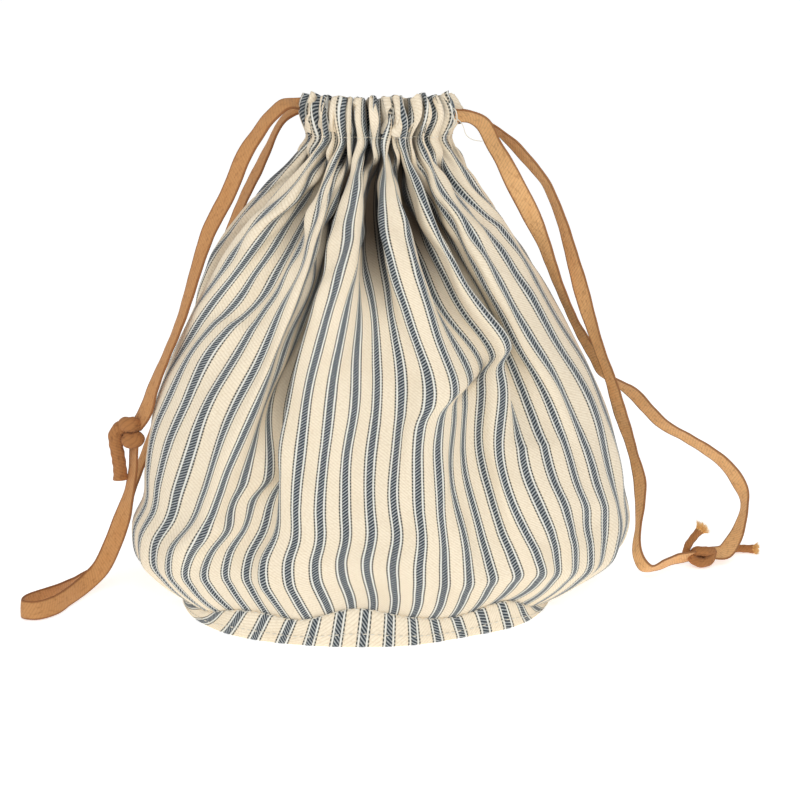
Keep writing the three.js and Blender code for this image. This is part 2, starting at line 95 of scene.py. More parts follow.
# quads between the rows of a grid whose last column joins its first
def gridFaces(rows, columns):
    j, i = np.meshgrid(np.arange(rows - 1), np.arange(columns), indexing="ij")
    right = (i + 1) % columns
    low, high = j * columns, (j + 1) * columns
    quads = np.stack([low + i, low + right, high + right, high + i], -1)
    corner = np.stack([np.stack([j, i], -1), np.stack([j, i + 1], -1),
                       np.stack([j + 1, i + 1], -1), np.stack([j + 1, i], -1)], 2)
    return quads.reshape(-1, 4), corner.reshape(-1, 2)


# grids in millimetres as one piece, with the share of painted shade each point gets in a hollow; the
# map of a grid has a column more than its points
def addGrids(name, grids, material, uvGrids, sunk=None):
    points, faces, uv, start = [], [], [], 0
    for grid, uvGrid in zip(grids, uvGrids):
        rows, columns = grid.shape[:2]
        quads, corner = gridFaces(rows, columns)
        points.append(grid.reshape(-1, 3))
        faces.append(quads + start)
        uv.append(uvGrid[corner[:, 0], corner[:, 1]])
        start += rows * columns
    mesh = bpy.data.meshes.new(name)
    mesh.from_pydata((np.concatenate(points) * mm).tolist(), [], np.concatenate(faces).tolist())
    mesh.polygons.foreach_set("use_smooth", np.ones(len(mesh.polygons), dtype=bool))
    layer = mesh.uv_layers.new(name="cloth")
    layer.data.foreach_set("uv", np.concatenate(uv).astype(np.float32).ravel())
    # the share of painted shade goes to the material as the sunk attribute
    if sunk is not None:
        layer = mesh.attributes.new("sunk", "FLOAT", "POINT")
        layer.data.foreach_set("value", sunk.astype(np.float32).ravel())
    mesh.materials.append(material)
    # rings that close on themselves or end in one point are joined there
    welded = bmesh.new()
    welded.from_mesh(mesh)
    bmesh.ops.remove_doubles(welded, verts=welded.verts, dist=weldGap)
    welded.to_mesh(mesh)
    welded.free()
    mesh.update()
    obj = bpy.data.objects.new(name, mesh)
    bpy.context.collection.objects.link(obj)
    return obj


# short names for wiring material nodes
class Wiring:
    def __init__(self, name):
        self.material = bpy.data.materials.new(name)
        self.material.use_nodes = True
        self.tree = self.material.node_tree
        self.shader = self.tree.nodes["Principled BSDF"]

    def node(self, kind, **settings):
        made = self.tree.nodes.new(kind)
        for key, value in settings.items():
            setattr(made, key, value)
        return made

    def put(self, socket, value):
        if isinstance(value, bpy.types.NodeSocket):
            self.tree.links.new(value, socket)
        else:
            socket.default_value = value

    def math(self, operation, a, b=0.0, c=0.0):
        made = self.node("ShaderNodeMath", operation=operation)
        for socket, value in zip(made.inputs, (a, b, c)):
            self.put(socket, value)
        return made.outputs[0]

    def band(self, low, high, value):
        made = self.node("ShaderNodeMapRange", interpolation_type="SMOOTHSTEP")
        self.put(made.inputs["Value"], value)
        made.inputs["From Min"].default_value = low
        made.inputs["From Max"].default_value = high
        return made.outputs["Result"]

    def mix(self, factor, a, b, blend="MIX"):
        made = self.node("ShaderNodeMix", data_type="RGBA", blend_type=blend)
        self.put(made.inputs["Factor"], factor)
        self.put(made.inputs["A"], a)
        self.put(made.inputs["B"], b)
        return made.outputs["Result"]

    def noise(self, vector, scale=1.0, detail=2.0):
        made = self.node("ShaderNodeTexNoise")
        self.put(made.inputs["Vector"], vector)
        made.inputs["Scale"].default_value = scale
        made.inputs["Detail"].default_value = detail
        return made.outputs["Fac"]

    def clothMap(self):
        made = self.node("ShaderNodeUVMap", uv_map="cloth")
        parts = self.node("ShaderNodeSeparateXYZ")
        self.tree.links.new(made.outputs["UV"], parts.inputs[0])
        return made.outputs["UV"], parts.outputs["X"], parts.outputs["Y"]

    def stretched(self, vector, scale):
        made = self.node("ShaderNodeMapping")
        self.put(made.inputs["Vector"], vector)
        made.inputs["Scale"].default_value = scale
        return made.outputs["Vector"]

    def bump(self, height, distance, strength=1.0):
        made = self.node("ShaderNodeBump")
        self.put(made.inputs["Height"], height)
        made.inputs["Distance"].default_value = distance
        made.inputs["Strength"].default_value = strength
        self.tree.links.new(made.outputs["Normal"], self.shader.inputs["Normal"])

    def finish(self, color, s):
        self.tree.links.new(color, self.shader.inputs["Base Color"])
        self.shader.inputs["Roughness"].default_value = s["rough"]
        self.shader.inputs["Specular IOR Level"].default_value = s["gloss"]
        self.shader.inputs["Sheen Weight"].default_value = s["sheen"]
        self.shader.inputs["Sheen Roughness"].default_value = s["sheenRough"]
        return self.material


# lengths in the ticking map are counted in stripe repeats; Edge is where a pattern starts and is full,
# Grain how fine a noise is, Share how much of it shows
tickingSet = dict(
    cream=(0.92, 0.80, 0.61, 1), creamDeep=(0.74, 0.61, 0.43, 1), white=(0.95, 0.90, 0.81, 1),
    slate=(0.013, 0.022, 0.032, 1), slateLight=(0.038, 0.051, 0.063, 1), fleck=(0.52, 0.55, 0.555, 1),
    # shade is the colour of the painted shade in the hollows, and shadeShare how much of it shows
    gapTint=(0.78, 0.79, 0.74, 1), lineTint=(0.045, 0.046, 0.040, 1), shade=(0.06, 0.042, 0.028, 1),
    halfBand=0.124, bandEdge=0.008, gapWide=0.068, gapEdge=(0.01, 0.03), gapShare=0.9,
    lineAt=0.222, halfLine=0.029, lineEdge=0.007, dotRate=8.1, dotEdge=(0.12, 0.3), dotVary=(0.5, 0.5),
    fleckRate=8.1, fleckSlope=0.68, fleckEdge=(0.14, 0.5), fleckVary=(1.7, 0.05), fleckShare=0.9,
    twillRate=7.7, twillSlope=0.75, twillEdge=(-0.12, 0.35),
    wander=0.03, wanderGrain=(1.5, 0.6, 1), wanderScale=2.0,
    speckGrain=(9, 15, 1), speckEdge=(0.46, 0.7), speckShare=0.55, slubGrain=(40, 5, 1), slubShare=0.25,
    weftGrain=(3, 60, 1), weftEdge=(0.55, 0.8), weftShare=0.12, broadScale=0.5, broadEdge=(0.45, 0.75),
    broadShare=0.3, shadeShare=0.96, rough=0.93, gloss=0.15, sheen=0.12, sheenRough=0.6,
    slubHigh=0.8, bump=0.00022, bumpShare=0.7)


# slate bands on cream, with a thin dotted line beside each, woven as a slanting twill
def tickingMaterial(name, s):
    w = Wiring(name)
    vector, u, v = w.clothMap()
    wander = w.noise(w.stretched(vector, s["wanderGrain"]), s["wanderScale"])
    u = w.math("MULTIPLY_ADD", w.math("SUBTRACT", wander, 0.5), s["wander"], u)
    away = w.math("PINGPONG", u, 0.5)
    band = w.band(s["halfBand"] - s["bandEdge"], s["halfBand"] + s["bandEdge"], away)
    band = w.math("SUBTRACT", 1.0, band)
    fromLine = w.math("ABSOLUTE", w.math("SUBTRACT", away, s["lineAt"]))
    line = w.band(s["halfLine"] + s["lineEdge"], s["halfLine"] - s["lineEdge"], fromLine)
    dots = w.band(*s["dotEdge"], w.math("PINGPONG", w.math("MULTIPLY", v, s["dotRate"]), 0.5))
    line = w.math("MULTIPLY", line, w.math("MULTIPLY_ADD", dots, *s["dotVary"]))
    rising = w.math("MULTIPLY", w.math("MULTIPLY_ADD", u, -s["fleckSlope"], v), s["fleckRate"])
    fleck = w.band(*s["fleckEdge"], w.math("PINGPONG", rising, 0.5))
    speck = w.noise(w.stretched(vector, s["speckGrain"]))
    fleck = w.math("MULTIPLY", fleck, w.math("MULTIPLY_ADD", speck, *s["fleckVary"]))
    falling = w.math("MULTIPLY", w.math("MULTIPLY_ADD", u, s["twillSlope"], v), s["twillRate"])
    twill = w.math("PINGPONG", falling, 0.5)
    slub = w.noise(w.stretched(vector, s["slubGrain"]), detail=3.0)
    weft = w.noise(w.stretched(vector, s["weftGrain"]))
    broad = w.noise(vector, s["broadScale"], detail=3.0)
    ground = w.mix(w.band(*s["twillEdge"], twill), s["creamDeep"], s["cream"])
    ground = w.mix(w.math("MULTIPLY", slub, s["slubShare"]), ground, s["white"])
    for share, patch in ((s["speckShare"], w.band(*s["speckEdge"], speck)),
                         (s["broadShare"], w.band(*s["broadEdge"], broad))):
        ground = w.mix(w.math("MULTIPLY", patch, share), ground, s["creamDeep"])
    gapEnd = s["halfBand"] + s["gapWide"]
    gap = w.math("SUBTRACT", w.band(s["halfBand"], s["halfBand"] + s["gapEdge"][0], away),
                 w.band(gapEnd, gapEnd + s["gapEdge"][1], away))
    ground = w.mix(w.math("MULTIPLY", gap, s["gapShare"]), ground, s["gapTint"])
    dye = w.mix(slub, s["slate"], s["slateLight"])
    dye = w.mix(w.math("MULTIPLY", fleck, s["fleckShare"]), dye, s["fleck"])
    color = w.mix(band, ground, dye)
    color = w.mix(line, color, s["lineTint"])
    weftPatch = w.math("MULTIPLY", w.band(*s["weftEdge"], weft), s["weftShare"])
    color = w.mix(weftPatch, color, s["creamDeep"])
    # painted shade: the bottoms of the hollows are darkened, as much as the sunk attribute says
    sunk = w.node("ShaderNodeAttribute", attribute_name="sunk").outputs["Fac"]
    paintedShade = w.mix(1.0, color, s["shade"], "MULTIPLY")
    color = w.mix(w.math("MULTIPLY", sunk, s["shadeShare"]), color, paintedShade)
    weave = w.math("ADD", w.mix(band, twill, fleck), w.math("MULTIPLY", slub, s["slubHigh"]))
    w.bump(weave, s["bump"], s["bumpShare"])
    return w.finish(color, s)


# lengths in the tape's map are counted in its widths
tapeSet = dict(
    tan=(0.77, 0.405, 0.155, 1), tanLight=(0.93, 0.61, 0.31, 1), brown=(0.25, 0.092, 0.03, 1),
    slantRate=5.6, slantSlope=0.6, slantEdge=(-0.2, 0.26), fineGrain=(60, 4, 1), fineVary=(0.55, 0.1),
    broadGrain=(1.5, 0.7, 1), broadEdge=(0.42, 0.75), broadShare=0.4,
    wornGrain=(7, 3, 1), wornEdge=(0.5, 0.72), wornShare=0.4, selvedgeAndShadeEdge=(0.14, 0.03), selvedgeAndShade=0.85,
    rough=0.86, gloss=0.2, sheen=0.1, sheenRough=0.5, fineHigh=0.7, bump=0.00025, bumpShare=0.8,
    wide=10.0, thick=1.1, step=1.2, drawnIn=0.62, drawnInRun=25.0,
    curl=0.9, curlLeast=0.3, curlMore=0.7, curlRuns=(23, 61), curlStart=0.8, curlLevel=0.4,
    sway=0.15, swayRuns=(7.3, 2.9), swayStart=1.0)
# one ring of the tape: across its width and over or under its middle, in half widths and half thicknesses
tapeRing = np.array([
    (1, 0), (0.965, 0.85), (0.85, 1), (0.45, 1), (0, 1), (-0.45, 1), (-0.85, 1), (-0.965, 0.85),
    (-1, 0), (-0.965, -0.85), (-0.85, -1), (-0.45, -1), (0, -1), (0.45, -1), (0.85, -1), (0.965, -0.85)])


# flat cotton tape: slanting twill, paler worn middle, edges darkened brown as a selvedge tone and as
# painted shade
def tapeMaterial(name, s):
    w = Wiring(name)
    vector, u, v = w.clothMap()
    middle = w.math("PINGPONG", u, 0.5)
    leaning = w.math("MULTIPLY", w.math("MULTIPLY_ADD", u, s["slantSlope"], v), s["slantRate"])
    slant = w.math("PINGPONG", leaning, 0.5)
    grain = w.noise(w.stretched(vector, s["fineGrain"]), detail=3.0)
    broad = w.noise(w.stretched(vector, s["broadGrain"]), detail=3.0)
    worn = w.noise(w.stretched(vector, s["wornGrain"]), detail=3.0)
    color = w.mix(w.band(*s["slantEdge"], slant), s["brown"], s["tan"])
    color = w.mix(w.math("MULTIPLY_ADD", grain, *s["fineVary"]), color, s["tanLight"])
    # the last patch darkens both edges of the tape: partly a selvedge tone, partly painted shade
    for share, patch, tint in ((s["broadShare"], w.band(*s["broadEdge"], broad), s["tan"]),
                               (s["wornShare"], w.band(*s["wornEdge"], worn), s["brown"]),
                               (s["selvedgeAndShade"], w.band(*s["selvedgeAndShadeEdge"], middle), s["brown"])):
        color = w.mix(w.math("MULTIPLY", patch, share), color, tint)
    w.bump(w.math("ADD", slant, w.math("MULTIPLY", grain, s["fineHigh"])), s["bump"], s["bumpShare"])
    return w.finish(color, s)


threadSet = dict(
    light=(0.86, 0.82, 0.72, 1), deep=(0.7, 0.64, 0.52, 1), twistRate=2.4, twistEdge=(0.0, 0.4),
    rough=0.7, gloss=0.5, sheen=0.0, sheenRough=0.5, bump=0.0001, bumpShare=0.6)


# twisted sewing thread
def threadMaterial(name, s):
    w = Wiring(name)
    u, v = w.clothMap()[1:]
    turn = w.math("PINGPONG", w.math("MULTIPLY", w.math("ADD", u, v), s["twistRate"]), 0.5)
    w.bump(turn, s["bump"], s["bumpShare"])
    return w.finish(w.mix(w.band(*s["twistEdge"], turn), s["deep"], s["light"]), s)


# painted shade: the left tape gets a browner copy of the tape colours as the shaded side, and the bunched
# tape of the knots a browner one still
shadedLeftSet = dict(tapeSet, tan=(0.52, 0.235, 0.078, 1), tanLight=(0.67, 0.37, 0.16, 1))
shadedKnotSet = dict(
    tapeSet, tan=(0.37, 0.145, 0.045, 1), tanLight=(0.53, 0.26, 0.10, 1), brown=(0.10, 0.032, 0.010, 1),
    selvedgeAndShade=0.12)
fibreSet = dict(threadSet, light=(0.98, 0.66, 0.28, 1), deep=(0.78, 0.40, 0.11, 1), twistRate=1.0)
ticking = tickingMaterial("ticking", tickingSet)
tapeCloth = tapeMaterial("tape", tapeSet)
shadedLeftCloth = tapeMaterial("tape_left", shadedLeftSet)
shadedKnotCloth = tapeMaterial("tape_bunched_shaded", shadedKnotSet)
frayCloth = threadMaterial("tape_fibres", fibreSet)
sewingThread = threadMaterial("sewing_thread", threadSet)
print("materials made")


# routes of the tape in millimetres: x, y, z and the twist about its own length in degrees
leftFrontRoute = [
    (-31, 0, 264, 0), (-38, -1.2, 264.5, 0), (-43, -4.5, 265.5, 45), (-50, -11, 266, 72),
    (-58, -15, 259.5, 78), (-65, -16, 250, 75), (-71, -17, 241, 66), (-79, -18, 222, 65),
    (-90, -19, 201, 70), (-96, -20, 185, 80), (-100, -22, 172, 85), (-108, -24, 149, 93),
    (-115, -24, 133, 93), (-120.5, -23, 120, 85), (-126, -19, 105, 72), (-131.5, -13.5, 96, 84)]
leftLoopRoute = [
    (-31, 2, 264, 0), (-38, 3.2, 263.7, 0), (-43, 5.5, 263, 40), (-49.5, 8, 259.5, 55),
    (-55, 10, 253.5, 55), (-60, 12.5, 243, 50), (-66, 17, 231, 42), (-77, 27, 209, 40),
    (-85, 37, 189, 30), (-95, 43, 165, 28), (-105, 44, 140, 30), (-115.5, 43, 115, 30),
    (-125, 37, 90, 32), (-135.5, 26.5, 65, 42), (-141.5, 18.5, 48, 45), (-148, 13, 26, 52),
    (-160, 7, 10, 65), (-169, -10, 6, 85), (-177, -27, 5.6, 100), (-185, -38, 5.5, 112),
    (-190, -47, 5.5, 114), (-189, -55, 5.5, 114), (-182, -57, 5.5, 110), (-174, -50, 5.6, 105),
    (-168, -37, 6.5, 114), (-161, -22, 9, 100), (-153.5, -17, 16, 90), (-147, -17, 29, 78),
    (-141.5, -19, 43, 68), (-137, -20, 57, 34), (-134.3, -18, 70, 26), (-133.5, -15, 86, 25)]
rightInnerRoute = [
    (26.5, -6.2, 260, 0), (33.5, -8.2, 260, 0), (37, -10, 260, 25), (46, -10, 259.5, 48),
    (53, -8, 255.5, 45), (58, -7, 246, 48), (64, -6, 236, 40), (70, -6, 224, 15), (77, -6, 211, 15),
    (84.5, -5, 195, 55), (90, -4, 181, 68), (95.5, -2, 167, 75), (104, 5, 149, 75),
    (110.5, 10, 137, 65), (117, 16, 126, 63), (122.5, 20, 116, 62), (131, 26, 110, 56),
    (139, 31, 104, 46), (149, 36, 93, 48), (160, 41, 82, 46), (173, 45, 74, 48), (185, 48, 66, 45),
    (198, 51, 55, 45), (206, 53, 43, 45), (209, 53, 32, 78), (207, 51, 21, 68), (202, 46, 12, 40),
    (196, 40, 7, 20), (187, 37.5, 7, 30)]
rightOuterRoute = [
    (27, -4, 260, 0), (34, -5.2, 260, 0), (37, -5.5, 260, 20), (46, -1, 259, 55), (55, 2.5, 255, 78),
    (62.5, 3, 250, 80), (70, 3, 243.5, 70), (78.5, 2, 234, 70), (87, 2, 223, 76), (93, 2, 210, 75),
    (98, 2, 196, 70), (102.5, 0, 181, 60), (106.5, -3, 167, 50), (115, -7, 140, 70), (123, -4, 119, 70),
    (131, 5, 95, 62), (139, 15, 73, 75), (143.5, 18, 56, 65), (144, 18, 42, 80), (143, 17, 28, 95),
    (142.5, 13, 15, 80), (147, 10, 7.2, 70), (156, 18, 6.2, 45), (166, 29, 6.2, 42), (177, 35, 6.4, 45)]
# rolls of bunched tape that make up the knots, the last of the left ones being its tail
leftRolls = dict(
    core=[(-142, -11, 91, 0), (-136.5, -11.5, 91.5, 0), (-131, -11, 91.5, 0)],
    upper=[(-131.6, -11.5, 94.6, 0), (-133, -15.2, 95.8, 0), (-135.4, -16.8, 96.2, 0),
           (-137.6, -15.2, 95.8, 0), (-138.8, -11.5, 94.6, 0)],
    lower=[(-137.4, -11.5, 88.8, 0), (-136.4, -15.8, 87.8, 0), (-134.2, -17.6, 87.4, 0),
           (-132, -15.8, 88, 0), (-130.8, -11.5, 89.2, 0)],
    tail=[(-136.5, -12.5, 95, 0), (-140.8, -14.5, 94, 0), (-143.4, -15.4, 90.4, 0),
          (-143.3, -15.4, 85.6, 0), (-142.5, -15.2, 80, 0), (-141.7, -15, 72.8, 0),
          (-141.3, -15, 65.6, 0)])
rightRolls = dict(
    core=[(177.5, 38, 6.2, 0), (182, 37.5, 6.2, 0), (187, 38, 6.2, 0)],
    lower=[(176.2, 38, 8, 0), (177.6, 33.4, 4.6, 0), (182.4, 31.4, 3.4, 0), (187, 33.4, 4.8, 0),
           (188.6, 38, 8, 0)],
    upper=[(177, 38, 6.4, 0), (179.6, 34.6, 9.2, 0), (184, 33.6, 9.4, 0), (188, 36.4, 8.4, 0),
           (190, 41, 7, 0)])
rightTailRoutes = [
    [(173.5, 36.5, 7.5, 0), (174.6, 37, 11.8, 0), (177.8, 38, 16.4, 0), (181.6, 39, 20.6, 0)],
    [(188, 40, 7, 0), (195, 52, 4.5, 0), (203, 60, 3, 0), (211, 61, 2.6, 0), (217, 60, 2.6, 0)]]


# points of the smooth line for each row of a route, and the fewest even steps along it
routeSet = dict(finePerRow=40, fewestSteps=8)


# even steps along a smooth line through the route, and the twist there
def routeLine(route, step):
    table = np.array(route, dtype=float)
    gaps = np.linalg.norm(np.diff(table[:, :3], axis=0), axis=1)
    knots = addedUp(np.sqrt(gaps))
    fine = throughTable(knots, table, np.linspace(0, knots[-1], routeSet["finePerRow"] * len(table)))
    length = addedUp(np.linalg.norm(np.diff(fine[:, :3], axis=0), axis=1))
    even = np.linspace(0, length[-1], max(routeSet["fewestSteps"], int(length[-1] / step)))
    return np.stack([np.interp(even, length, fine[:, k]) for k in range(4)], 1), even


# the tape's width is carried along the line without twist of its own, then turned as listed
def carriedWidths(line, first):
    ahead = unit(np.gradient(line[:, :3], axis=0))
    wide = np.zeros_like(ahead)
    now = np.array(first, dtype=float)
    for k in range(len(ahead)):
        now = now - ahead[k] * now.dot(ahead[k])
        now = now / np.linalg.norm(now)
        wide[k] = now
    turn = np.radians(line[:, 3:4])
    side = np.cross(ahead, wide)
    return wide * np.cos(turn) + side * np.sin(turn), ahead


# the flat ring carried along the line; it curls across its width, more and less along the way
def tapeGrid(route, s, first=(0, 0, 1)):
    line, even = routeLine(route, s["step"])
    wide, ahead = carriedWidths(line, first)
    thick = np.cross(ahead, wide)
    across, over = tapeRing[None, :, 0], tapeRing[None, :, 1]
    grow = s["drawnIn"] + (1 - s["drawnIn"]) * ease(0, s["drawnInRun"], even)[:, None]
    bend = np.sin(even / s["curlRuns"][0] + s["curlStart"]) * np.sin(even / s["curlRuns"][1])
    bend = (s["curlLeast"] + s["curlMore"] * bend)[:, None]
    sway = np.sin(even / s["swayRuns"][0]) * np.sin(even / s["swayRuns"][1] + s["swayStart"])
    sway = s["sway"] * sway[:, None]
    reach = across * s["wide"] / 2 * grow
    lift = over * s["thick"] / 2 + s["curl"] * bend * (across ** 2 - s["curlLevel"]) + sway
    grid = line[:, None, :3] + wide[:, None, :] * reach[:, :, None] + thick[:, None, :] * lift[:, :, None]
    return closedEnds(grid, line, (tapeRing[:, 0] + 1) / 2, even / s["wide"]) + (even[-1],)


# the map of a ring, and both ends drawn in to one point
def closedEnds(grid, line, column, along):
    uvGrid = mapGrid(np.append(column, column[0]), along)
    cap = np.repeat(line[[0, -1], None, :3], grid.shape[1], axis=1)
    grid = np.concatenate([cap[:1], grid, cap[1:]], 0)
    uvGrid = np.concatenate([uvGrid[:1], uvGrid, uvGrid[-1:]], 0)
    return grid, uvGrid, line[:, :3]


tapePieces = {}
for name, route in (("tape_left_front", leftFrontRoute), ("tape_left_loop", leftLoopRoute),
                    ("tape_right_inner", rightInnerRoute), ("tape_right_outer", rightOuterRoute)):
    grid, uvGrid, line, length = tapeGrid(route, tapeSet)
    piece = addGrids(name + "_cloth", [grid], shadedLeftCloth if "left" in name else tapeCloth, [uvGrid])
    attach(piece, "root")
    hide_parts(name)
    tapePieces[name] = (piece, line * mm, length * mm)
    print("tape", name, round(length), "mm")


# bunched tape: half width, half thickness, how much wider its cut end is, how far its ends are drawn in,
# the lumps along it, the creases around it, and the length of one unit of its map
tailSet = dict(
    half=3.6, thin=3.7, flare=0.12, flareRun=5.0, drawn=0.0, drawnRun=3.0, lump=0.04, lumpRate=1.3,
    lumpStart=1.0, crease=0.05, creaseAt=(0.9, 3.6), creaseWide=0.3, mapLength=10.0,
    first=(0.0, 1.0, 0.0), ringPoints=24, step=0.6)
lobeSet = dict(tailSet, half=4.3, thin=4.1, flare=0.0, drawn=0.5, crease=0.1, first=(0.0, 0.0, 1.0))
coreSet = dict(lobeSet, half=5.4, thin=4.4, drawn=0.25)
smallLobeSet = dict(lobeSet, half=2.9, thin=2.7)
smallCoreSet = dict(lobeSet, half=4.4, thin=4.0)
thinTailSet = dict(tailSet, half=2.3, thin=2.0, first=(0.0, 0.3, 1.0))


# a round section carried along the line, with two creases along it, slightly lumpy
def tailGrid(route, s):
    line, even = routeLine(route, s["step"])
    wide, ahead = carriedWidths(line, s["first"])
    thick = np.cross(ahead, wide)
    ring = np.linspace(0, 2 * np.pi, s["ringPoints"], endpoint=False)
    left = even[-1] - even
    grow = 1 + s["flare"] * (1 - ease(0, s["flareRun"], left))
    grow = grow + s["lump"] * np.sin(even * s["lumpRate"] + s["lumpStart"])
    ends = 2 - ease(0, s["drawnRun"], even) - ease(0, s["drawnRun"], left)
    grow = (grow * (1 - s["drawn"] * ends))[:, None]
    fold = 1 - s["crease"] * sum(np.exp(-((ring - at) / s["creaseWide"]) ** 2) for at in s["creaseAt"])
    across = wide[:, None, :] * (np.cos(ring) * fold * s["half"] * grow)[:, :, None]
    over = thick[:, None, :] * (np.sin(ring) * fold * s["thin"] * grow)[:, :, None]
    return closedEnds(line[:, None, :3] + across + over, line, ring / np.pi, even / s["mapLength"])


# cut end of a tail: how many fibres, how long and thin, how far they spread, stray and lift, how wide and
# high the brush is, how far it reaches back into the tail, how low a fibre may lie
fraySet = dict(
    fibres=320, long=6.2, shortest=0.55, outerShort=0.4, thin=0.19, tip=0.6, spread=0.6, stray=0.28,
    lift=0.4, across=2.6, rise=2.6, rooted=1.0, lowest=0.3, rings=8, ringPoints=5, step=1.0,
    mapRange=(0.2, 0.8), first=(0.6, 0.0, -0.8), seed=7)


# fine tapering tubes from the end of a tail, each bending aside with the square of its length
def frayGrids(route, s):
    chance = np.random.default_rng(s["seed"])
    line = routeLine(route, s["step"])[0]
    wide, ahead = carriedWidths(line, s["first"])
    end, side, along = line[-1, :3], wide[-1], ahead[-1]
    over = np.cross(along, side)
    count = s["fibres"]
    place = chance.uniform(-1, 1, count)
    reach = chance.uniform(s["shortest"], 1.0, count) * s["long"] * (1 - s["outerShort"] * place ** 2)
    lean = place * s["spread"] + chance.normal(0, s["stray"], count)
    lift = chance.normal(0, s["lift"], count)
    rise = chance.uniform(-1, 1, count) * s["rise"] * np.sqrt(1 - place ** 2)
    t = np.linspace(0, 1, s["rings"])
    taper = np.where((t > 0) & (t < 1), 1 - s["tip"] * t, 0)
    aside = (place * s["across"])[:, None] + (lean * reach)[:, None] * t * t
    onward = reach[:, None] * t - s["rooted"]
    upward = rise[:, None] + (lift * reach)[:, None] * t * t
    path = end + aside[:, :, None] * side + onward[:, :, None] * along + upward[:, :, None] * over
    ring = np.linspace(0, 2 * np.pi, s["ringPoints"], endpoint=False)[:, None]
    radius = (s["thin"] * taper)[None, :, None, None]
    grids = path[:, :, None, :] + radius * (np.cos(ring) * side + np.sin(ring) * over)
    grids[..., 2] = np.maximum(grids[..., 2], s["lowest"])
    uvGrid = mapGrid(np.linspace(*s["mapRange"], s["ringPoints"] + 1), t)
    return list(grids), [uvGrid] * count


# several rolls of bunched tape as one piece
def makeKnot(name, rolls):
    grids = [tailGrid(route, roll)[:2] for route, roll in rolls]
    knot = addGrids(name + "_cloth", [g[0] for g in grids], shadedKnotCloth, [g[1] for g in grids])
    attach(knot, "root")
    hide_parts(name)
    return knot


# a brush of fibres at the end of each tail, as long and wide as its share says
def makeFray(name, tails):
    grids, uvGrids = [], []
    for k, (route, share) in enumerate(tails):
        brush = dict(fraySet, seed=fraySet["seed"] + k)
        brush.update(long=fraySet["long"] * share, across=fraySet["across"] * share)
        made, uvMade = frayGrids(route, brush)
        grids += made
        uvGrids += uvMade
    fray = addGrids(name, grids, frayCloth, uvGrids)
    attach(fray, "root")
    return fray


knotLeft = makeKnot("knot_left", [
    (leftRolls["core"], coreSet), (leftRolls["upper"], lobeSet), (leftRolls["lower"], lobeSet),
    (leftRolls["tail"], tailSet)])
knotRight = makeKnot("knot_right", [
    (rightRolls["core"], smallCoreSet), (rightRolls["lower"], smallLobeSet),
    (rightRolls["upper"], smallLobeSet)] + [(route, thinTailSet) for route in rightTailRoutes])
frayRight = makeFray("knot_right_fray", [(rightTailRoutes[0], 1.0), (rightTailRoutes[1], 0.8)])
print("knots tied")

for name, (piece, line, length) in tapePieces.items():
    pieces = [knotLeft] if name == "tape_left_front" else []
    pieces = [knotRight, frayRight] if name == "tape_right_inner" else pieces


# the cloth and its grid, the folds, the casing's gathers, the fades of foot and seam, the waver on the
# left, the top edge and its hem, and where the hollows get painted shade; heights and lengths in
# millimetres
wallSet = dict(
    repeats=58, repeatWidth=13.2, columnsPerRepeat=12, firstRepeat=-5, rows=126, squareness=2.15,
    steepest=1.46, deepest=0.62, flatCrest=0.5, leastDrawn=0.02, showLow=0.25, showFoot=(15, 48),
    showBelow=25, showAbove=45, ovalHalfTurns=(-1.5, 3), ovalSteps=2161, spanSteps=129, gainSteps=69,
    mostGain=3.4,
    casingLow=226.0, casingHigh=248.0, pressedSteep=1.52, pressedFlat=0.4, pressedShoulder=0.65,
    pressedBottom=2.4, leanMost=3.0, leanRate=2.4, leanStart=0.6, leanHeights=(244, 268),
    bulgeFade=(20, 80), puckerFade=(15, 60), swellAbove=5.0,
    waver=0.35, waverMore=0.4, waverAt=-0.5, waverWide=4.0,
    topHeights=(250, 270.5), topDrop=0.6, topHollow=0.2, topBehind=5.0, behindRun=(-5, 20),
    hemRows=9, hemThick=2.2, hemTurns=(45, 90, 135),
    # painted shade of the hollows: where it starts and is full as a share of the front depth, its least
    # share and the heights where it grows to full, how much it loses in the casing and where, and how
    # much less of it lies beside the first ridge
    paintedShadeFrom=(0.14, 0.26), paintedShadeLeast=0.4, paintedShadeRise=(168, 207), paintedShadeCasing=0.4, paintedShadeCasingRise=(236, 252),
    lessShadeShare=0.6, lessShadeAt=-1.0, lessShadeWide=2.0)
# uneven fields of the cloth: waves around it, waves per millimetre of height, how many waves, seed,
# size in millimetres, heights over which the field grows, heights over which it dies
never = (300, 301)
crumples = dict(
    warp=((26, 80), (0.008, 0.03), 30, 11, 0.8, (238, 254), never),
    waver=((5, 22), (0.008, 0.026), 30, 17, 1.0, (18, 60), (215, 245)),
    uneven=((18, 60), (0.0, 0.01), 24, 9, 0.7, (-2, -1), never),
    wrinkle=((8, 34), (0.002, 0.012), 26, 3, 0.55, (15, 40), never),
    puff=((26, 80), (0.01, 0.035), 30, 5, 0.55, (236, 252), never),
    ripple=((20, 64), (0.02, 0.05), 40, 8, 0.6, (150, 215), (238, 252)),
    dents=((14, 46), (0.006, 0.02), 36, 21, 0.4, (15, 32), never))
